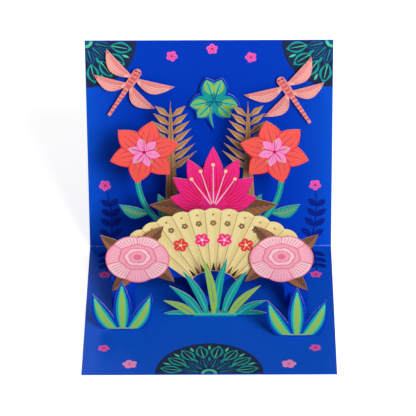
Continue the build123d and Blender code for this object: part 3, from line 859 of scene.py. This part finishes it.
def lotus_print():
    """Large flower: each petal edged and streaked, the middle one in front, with stamens."""
    sheet = Print("lotus_print", upright(LOTUS_DISTANCE, BRIDGE_HEIGHT), "magenta_stock")
    petals = spray(LOTUS_PETALS, LOTUS_SPREAD, LOTUS_MIDDLE_LENGTH, LOTUS_SIDE_LENGTH)
    outer_first = sorted(petals, key=lambda row: -abs(row[0]))
    for i, (share, lean, length) in enumerate(outer_first):
        petal = Leaf(LOTUS_FOOT, lean, length, LOTUS_PETAL_WIDTH)
        sheet.add("berry", petal.core(0.98), 3 * i)
        sheet.add("hot_pink", petal.core(0.9, 0.02, 0.985), 3 * i + 1)
        for s in (-0.64, -0.32, 0.0, 0.32, 0.64):
            sheet.add("crimson", petal.line(s, 0.25, 0.86 - abs(s) * 0.25, 1.2, 0.25), 3 * i + 2)
    top = 3 * LOTUS_PETALS + 1
    for lean, reach in LOTUS_STAMENS.items():
        stamen = Leaf(LOTUS_FOOT, lean, reach, 1.0)
        sheet.add("blush", stamen.line(0.0, 0.1, 1.0, 0.8, 0.5), top)
        sheet.add("cream", disc(stamen.at(0.0, 1.0), 1.2, 12), top + 1)
    sheet.make()


def lotus_leaves_print():
    """Leaves behind the large flower, with the lower half of each paler."""
    sheet = Print("lotus_leaves_print", upright(LOTUS_DISTANCE, BRIDGE_HEIGHT, 1, 0.0), "brown_stock")
    for side in SIDES.values():
        foot = (LOTUS_FOOT[0] - side * LOTUS_LEAF_OVERLAP, LOTUS_LEAF_RISE)
        angle, bow = side * LOTUS_LEAF_ANGLE, -side * LOTUS_LEAF_BOW
        leaf = Leaf(foot, angle, LOTUS_LEAF_LENGTH, LOTUS_LEAF_WIDTH, bow)
        low, high = sorted((side * 0.06, side * 0.86))
        sheet.add("brown_light", leaf.part(low, high, 0.2, 0.97))
        sheet.add("dusk", leaf.line(0.0, 0.2, 0.96, 0.8, 0.25), 1)
        for vein in leaf.veins(8, 0.3, 0.85, 0.7, 0.08, 0.35):
            sheet.add("umber", vein, 1)
    sheet.make()


def lily_stem(sheet):
    """Stem with a pale line, and two ribbed leaves on it."""
    count = 40
    path = arc(LILY_FOOT, LILY_CENTRE, LILY_STEM_BOW, count)
    shown = [point for point in path if point[1] > FOOT_TOP][:-6]
    sheet.add("teal", above(strip(shown, LILY_STEM_PRINT), FOOT_TOP))
    sheet.add("mint", strip(shown[2:-4], FINE_LINE), 1)
    leaves = (
        (LILY_OUTER_LEAF_PLACE, LILY_OUTER_LEAF_ANGLE, LILY_LEAF_BOW),
        (LILY_INNER_LEAF_PLACE, LILY_INNER_LEAF_ANGLE, -LILY_LEAF_BOW),
    )
    for place, angle, bow in leaves:
        leaf = Leaf(path[round(count * place)], angle, LILY_LEAF_LENGTH, LILY_LEAF_WIDTH, bow)
        sheet.add("teal", leaf.core(0.93, 0.0, 0.985), 1)
        sheet.add("lime", leaf.line(0.0, 0.1, 0.93, 0.7, 0.25), 2)
        for vein in leaf.veins(6, 0.2, 0.72, 0.72, 0.13, 0.55):
            sheet.add("lime", vein, 2)


def lily_flower(sheet):
    """Veined outer petals, every other one in front, round pale inner ones and stamens."""
    step = 360 / LILY_PETALS
    front, behind = range(1, LILY_PETALS, 2), range(0, LILY_PETALS, 2)
    for i in (*behind, *front):
        petal = Leaf(LILY_CENTRE, -(LILY_TURN + step * i), LILY_PETAL_LENGTH, LILY_PETAL_WIDTH)
        rank = 4 if i in front else 1
        sheet.add("red", petal.core(), rank)
        sheet.add("coral", petal.core(0.9, 0.02, 0.98), rank + 1)
        for s in (-0.5, 0.0, 0.5):
            sheet.add("plum", petal.line(s, 0.3, 0.82 - abs(s) * 0.3, 0.55, 0.15), rank + 2)
    for i in range(LILY_PETALS):
        angle = -(LILY_TURN + step * (i + 0.5))
        petal = Leaf(LILY_CENTRE, angle, LILY_INNER_LENGTH, LILY_INNER_WIDTH)
        rank = 11 if i in front else 8
        sheet.add("hot_pink", petal.core(), rank)
        sheet.add("pink", petal.core(0.84, 0.04, 0.96), rank + 1)
        sheet.add("blossom", petal.line(0.0, 0.2, 0.8, 0.6, 0.2), rank + 2)
    for i in range(LILY_STAMENS):
        lean = UPRIGHT + 360 / LILY_STAMENS * i
        foot, tip = (polar(LILY_CENTRE, reach, lean) for reach in (1.0, LILY_STAMEN_LENGTH))
        sheet.add("berry", strip([foot, tip], FINE_LINE), 14)
        sheet.add("lime", disc(tip, 0.8, 10), 15)
    sheet.add("berry", disc(LILY_CENTRE, 1.3, 14), 15)


def lily_print(name, side):
    """Side flower on its stem."""
    sheet = Print(f"lily_{name}_print", upright(LILY_DISTANCE, BRIDGE_HEIGHT, side), "coral_stock")
    lily_stem(sheet)
    lily_flower(sheet)
    sheet.make()


def leaflet(sheet, joint, way, length, half):
    """One leaflet of a spray: its lower half paler, with a darker middle line."""
    foot, middle, tip, side = (
        turn(point, joint, way * FERN_LEAFLET_ANGLE)
        for point in ((0, 1.5), (0, length / 2), (0, length - 0.8), (-way * half * 0.86, FERN_LEAFLET_BELLY))
    )
    sheet.add("tan_light", [foot, tip, side])
    sheet.add("tan_deep", strip([foot, middle, tip], 0.55, 0.2), 1)


def fern_print(name, side):
    """Tan spray: leaflets in two tones, and darker lines along the stalk."""
    sheet = Print(f"fern_{name}_print", upright(FERN_DISTANCE, BRIDGE_HEIGHT, side), "tan_stock")
    x = FERN_OFFSET
    pitch = (FERN_LAST_HEIGHT - FERN_FIRST_HEIGHT) / (FERN_PAIRS - 1)
    half = (pitch * math.sin(math.radians(FERN_LEAFLET_ANGLE)) - FERN_LEAFLET_GAP) / 2
    for i, length in enumerate(steps(FERN_LEAFLET_LENGTH, FERN_TOP_LENGTH, FERN_PAIRS - 1)):
        for way in (-1, 1):
            leaflet(sheet, (x, FERN_FIRST_HEIGHT + pitch * i), way, length, half)
    sheet.add("tan_deep", strip([(x, y) for y in FERN_STALK_LINE], 1.2, 0.3), 2)
    low, high = FERN_EDGE_LINE
    for way in (-1, 1):
        edge = [(x + way * 2.6, low), (x + way * 1.6, high)]
        sheet.add("tan_deep", strip(edge, FINE_LINE, FINE_LINE / 2))
    sheet.make()


def fold_highlight(sheet, colour, centre, width, top, rank):
    """Painted highlight: a pale line where a low plant is folded on to its foot, for the light caught by the
    fold.
    """
    left, right = centre - width / 2, centre + width / 2
    corners = [(left, FOLD_HIGHLIGHT_FOOT), (right, FOLD_HIGHLIGHT_FOOT), (right, top), (left, top)]
    sheet.add(colour, corners, rank)


def grass_print():
    """Low centre plant: every third blade lime, the rest lined, with a painted highlight as a pale line along
    the fold.
    """
    sheet = Print("grass_print", upright(GRASS_DISTANCE, 0.0), "green_stock")
    blades = spray(GRASS_BLADES, GRASS_SPREAD, GRASS_MIDDLE_LENGTH, GRASS_SIDE_LENGTH)
    for i, (share, lean, length) in enumerate(blades):
        foot = (GRASS_OFFSET + share * (GRASS_FOOT_WIDTH - GRASS_BLADE_WIDTH) / 2, -FOOT_SINK)
        bow = -math.copysign(GRASS_BLADE_WIDTH / 2, share)
        blade = Leaf(foot, lean, length + FOOT_SINK, GRASS_BLADE_WIDTH, bow)
        if i % 3 == 1:
            sheet.add("lime", above(blade.core(0.92, 0.0, 0.985), FOOT_TOP), i)
            sheet.add("teal", above(blade.line(0.0, 0.3, 0.88, 0.6, 0.15), FOOT_TOP), GRASS_BLADES)
        else:
            sheet.add("mint", above(blade.line(0.0, 0.2, 0.9, 0.8, 0.2), FOOT_TOP), i)
    # Painted highlight: a pale mint line along the fold of the foot
    fold_highlight(sheet, "mint", GRASS_OFFSET, GRASS_FOLD_HIGHLIGHT_WIDTH, GRASS_FOLD_HIGHLIGHT_TOP, GRASS_BLADES + 1)
    sheet.make()


def tuft_print(name, side):
    """Low side plant: teal leaves with lime middles inside the blue border."""
    sheet = Print(f"tuft_{name}_print", upright(TUFT_DISTANCES[name], 0.0, side), "green_stock")
    leaves = spray(TUFT_LEAVES, TUFT_SPREAD, TUFT_MIDDLE_LENGTH, TUFT_SIDE_LENGTH)
    for i, (share, lean, length) in enumerate(leaves):
        foot, bow = (TUFT_OFFSET, -FOOT_SINK), share * TUFT_LEAF_BOW
        leaf = Leaf(foot, lean, length + FOOT_SINK, TUFT_LEAF_WIDTH, bow)
        sheet.add("teal", above(leaf.core(), FOOT_TOP), i)
        sheet.add("mint", above(leaf.core(0.66, 0.0, 0.95), FOOT_TOP), TUFT_LEAVES + i)
        sheet.add("lime", above(leaf.core(0.38, 0.0, 0.86), FOOT_TOP), 2 * TUFT_LEAVES + i)
    # Painted highlight: a pale lime line along the fold of the foot
    fold_highlight(sheet, "lime", TUFT_OFFSET, TUFT_FOLD_HIGHLIGHT_WIDTH, TUFT_FOLD_HIGHLIGHT_TOP, 3 * TUFT_LEAVES)
    sheet.make()


def on_dragonfly(x, y):
    """A point given along the insect's own body."""
    return turn((x, y), DRAGONFLY_CENTRE, DRAGONFLY_TURN)


def dragonfly_band(y, width):
    """Ends of a band across the insect's body or tail."""
    return [on_dragonfly(-width / 2, y), on_dragonfly(width / 2, y)]


def dragonfly_wing(sheet, way, rise, length, angle):
    """One wing: its hind part paler, with fine lines and a dark tip."""
    lean = way * angle - DRAGONFLY_TURN
    wing = Leaf(on_dragonfly(0, rise), lean, length, WING_WIDTH, way * WING_WIDTH / 2)
    low, high = sorted((way * -0.2, way * 0.9))
    sheet.add("salmon_light", wing.part(low, high, 0.1, 0.97))
    for s in (-0.6, -0.25, 0.1, 0.45, 0.75):
        sheet.add("salmon_deep", wing.line(way * s, 0.18, 0.9 - abs(s) * 0.12, 0.4, 0.15), 1)
    sheet.add("salmon_deep", wing.part(-0.5, 0.5, 0.9, 0.98, 6), 2)


def dragonfly_print(name, side):
    """Floating insect: lined wings, and a banded body and tail with two eyes."""
    face = upright(0.0, DRAGONFLY_HEIGHTS[name], side, DRAGONFLY_FOAM + STOCK)
    sheet = Print(f"dragonfly_{name}_print", face, "salmon_stock")
    for way in (-1, 1):
        dragonfly_wing(sheet, way, WING_SPACING / 2, FORE_WING_LENGTH, WING_ANGLE)
        dragonfly_wing(sheet, way, -WING_SPACING / 2, HIND_WING_LENGTH, WING_ANGLE + WING_STEP)
    sheet.add("salmon_deep", strip([on_dragonfly(0, y) for y in DRAGONFLY_BODY_LINE], 4.6, 3.4), 3)
    for i in range(BODY_BANDS):
        band = dragonfly_band(BODY_FIRST_BAND - BODY_BAND_STEP * i, BODY_BAND_WIDTH)
        sheet.add("salmon", strip(band, 0.8), 4)
    for i in range(TAIL_BANDS):
        band = dragonfly_band(TAIL_FIRST_BAND - TAIL_BAND_STEP * i, TAIL_BAND_WIDTH - TAIL_BAND_LOSS * i)
        sheet.add("salmon_deep", strip(band, 1.3), 3)
    for way in (-1, 1):
        x, y = on_side(DRAGONFLY_EYE, way)
        sheet.add("plum", disc(on_dragonfly(x, y), 0.8, 12), 5)
    sheet.make()


def clover_print():
    """Floating three-part leaf: teal lobes with a lime middle and a paler mark, inside the blue border."""
    face = upright(0.0, CLOVER_HEIGHT, 1, FOAM + STOCK)
    sheet = Print("clover_print", face, "teal_stock")
    lobes = 2 * CLOVER_LEAVES
    for i in range(CLOVER_LEAVES):
        for k, splay in enumerate((-CLOVER_LOBE_SPLAY, CLOVER_LOBE_SPLAY)):
            angle = -(splay + 360 / CLOVER_LEAVES * i)
            lobe = Leaf(CLOVER_CENTRE, angle, CLOVER_LOBE_LENGTH, CLOVER_LOBE_WIDTH, 0.0, CLOVER_LOBE_BELLY)
            mark_foot = lobe.at(0.0, 0.3)
            mark = Leaf(mark_foot, angle, CLOVER_MARK_LENGTH, CLOVER_MARK_WIDTH, 0.0, CLOVER_LOBE_BELLY)
            rank = 2 * i + k
            sheet.add("teal", lobe.core(), rank)
            sheet.add("lime", mark.core(), lobes + 1 + rank)
            sheet.add("mint", mark.core(0.5, 0.1, 0.9), 2 * lobes + 1 + rank)
            sheet.add("deep_teal", lobe.line(0.0, 0.04, 0.9, 0.9, 0.25), 3 * lobes + 1)
    stem = Leaf(CLOVER_CENTRE, 180.0, CLOVER_STEM_LENGTH, CLOVER_STEM_WIDTH, CLOVER_STEM_WIDTH)
    sheet.add("teal", stem.core(), lobes)
    sheet.add("lime", stem.line(0.0, 0.2, 0.92, 0.6, 0.3), 3 * lobes + 1)
    sheet.make()


def dress_nodes():
    """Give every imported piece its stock."""
    lotus_stalk = upright(LOTUS_DISTANCE, BRIDGE_HEIGHT)(LOTUS_FOOT[0], 0.0, 0.0)
    stocks = {
        "card": cover_stock(),
        "bridge": folded_blue("bridge_stock"),
        "fan": die_cut("fan_stock", "cream", edge="cream_deep"),
        "lotus": die_cut("lotus_stock", "hot_pink", near=("teal", lotus_stalk, LOTUS_TEAL_REACH)),
        "lotus_leaves": die_cut("lotus_leaves_stock", "brown"),
        "grass": die_cut("grass_stock", "teal"),
        "clover": die_cut("clover_stock", "cobalt"),
    }
    shared = {
        "bloom": die_cut("bloom_stock", "rose_deep"),
        "bloom_leaves": die_cut("bloom_leaves_stock", "brown"),
        "fern": die_cut("fern_stock", "tan"),
        "tuft": die_cut("tuft_stock", "cobalt"),
        "dragonfly": die_cut("dragonfly_stock", "salmon"),
    }
    for name, side in SIDES.items():
        flower = upright(LILY_DISTANCE, BRIDGE_HEIGHT, side)(*LILY_CENTRE, 0.0)
        near = ("coral", flower, LILY_CORAL_REACH)
        stocks[f"lily_{name}"] = die_cut(f"lily_{name}_stock", "teal", near=near)
        stocks.update({f"{kind}_{name}": stock for kind, stock in shared.items()})
    strut = folded_blue("strut_stock")
    foam = foam_tape()
    for name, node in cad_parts.items():
        stock = stocks.get(name) or (strut if "strut" in name else foam)
        node.data.materials.clear()
        node.data.materials.append(stock)


def build_prints():
    panel_print()
    base_print()
    fan_print()
    lotus_print()
    lotus_leaves_print()
    grass_print()
    clover_print()
    for name, side in SIDES.items():
        bloom_leaves_print(name, side)
        bloom_print(name, side)
        lily_print(name, side)
        fern_print(name, side)
        tuft_print(name, side)
        dragonfly_print(name, side)


def add_floor():
    """A wide pale floor that looks white and keeps the card's shadow."""
    mesh = bpy.data.meshes.new("floor")
    corners = ((-1, -1), (1, -1), (1, 1), (-1, 1))
    mesh.from_pydata([(x * FLOOR_REACH, y * FLOOR_REACH, -FLOOR_GAP) for x, y in corners], [], [(0, 1, 2, 3)])
    shader = new_material("floor")
    mesh.materials.append(shader.end({
        "Base Color": (FLOOR_TONE, FLOOR_TONE, FLOOR_TONE, 1.0),
        "Roughness": 0.9,
        "Specular IOR Level": 0.0,
        "Emission Color": WHITE,
        "Emission Strength": shader.math("MULTIPLY", shader.shows_background(), FLOOR_GLOW),
    }))
    floor = add_object("floor", mesh)


def add_light():
    """Soft square lamps that face the card, from the front and right, above and behind, in a pale room."""
    for name, (place, power, size) in LAMPS.items():
        lamp = bpy.data.lights.new(name, "AREA")
        lamp.energy, lamp.size = power, size
        holder = add_object(name, lamp)
        holder.location = place
        holder.rotation_euler = (Vector(LAMP_TARGET) - Vector(place)).to_track_quat("-Z", "Y").to_euler()
    world = Shader(bpy.data.worlds.new("studio"), "Background")
    strength = world.math("MULTIPLY_ADD", world.shows_background(), 1.0 - ROOM_LIGHT, ROOM_LIGHT)
    bpy.context.scene.world = world.end({"Color": WHITE, "Strength": strength})


def add_camera():
    """Camera at the photograph's viewing angle."""
    rise, yaw, roll = (math.radians(angle) for angle in (CAMERA_RISE, CAMERA_YAW, CAMERA_ROLL))
    right = Vector((1.0, 0.0, 0.0))
    up = Vector((0.0, math.sin(rise), math.cos(rise)))
    ahead = Vector((0.0, math.cos(rise), -math.sin(rise)))
    place = CAMERA_RIGHT * right + CAMERA_UP * up - CAMERA_AWAY * ahead
    rolled_right = math.cos(roll) * right - math.sin(roll) * up
    rolled_up = math.sin(roll) * right + math.cos(roll) * up
    swing = Matrix.Rotation(-yaw, 3, "Z")
    axes = Matrix([swing @ rolled_right, swing @ rolled_up, swing @ -ahead]).transposed()
    spot = (swing @ place + Vector((0.0, FOLD_Y, COVER))) * MM
    data = bpy.data.cameras.new("camera")
    data.sensor_width = SENSOR_WIDTH
    data.lens = SENSOR_WIDTH * FOCAL_PIXELS / IMAGE_PIXELS
    data.clip_start, data.clip_end = CAMERA_CLIP
    camera = add_object("camera", data)
    camera.matrix_world = Matrix.Translation(spot) @ axes.to_4x4()
    bpy.context.scene.camera = camera


dress_nodes()
build_prints()
add_floor()
add_light()
add_camera()
bpy.context.scene.view_settings.view_transform = "Standard"
